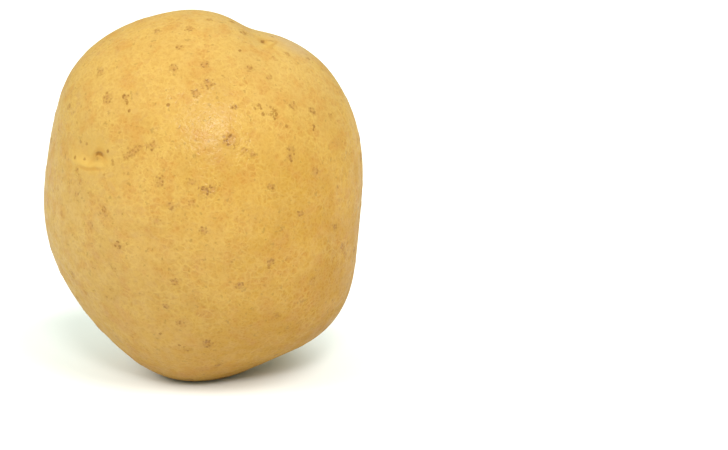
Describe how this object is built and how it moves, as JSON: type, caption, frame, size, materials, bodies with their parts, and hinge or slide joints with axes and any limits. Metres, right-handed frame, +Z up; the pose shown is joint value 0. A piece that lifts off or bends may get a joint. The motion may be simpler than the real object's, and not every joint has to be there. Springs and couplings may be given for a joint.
{
  "type": "potato",
  "caption": "Whole yellow-skinned potato standing on its narrow end on a small flat spot, with shallow eyes and a stem scar.",
  "frame": {"origin": "middle of the small flat spot that the potato stands on, on its narrow stem end", "axes": "+Z up along its length towards the crown, -Y out of its broad front face, +X to the right seen from the front"},
  "size_m": [0.0821, 0.0705, 0.0953],
  "materials": {
    "skin": "satin potato skin: ochre yellow, finely netted, with small brown pores"
  },
  "bodies": {
    "root": {"potato": "skin"}
  },
  "joints": []
}
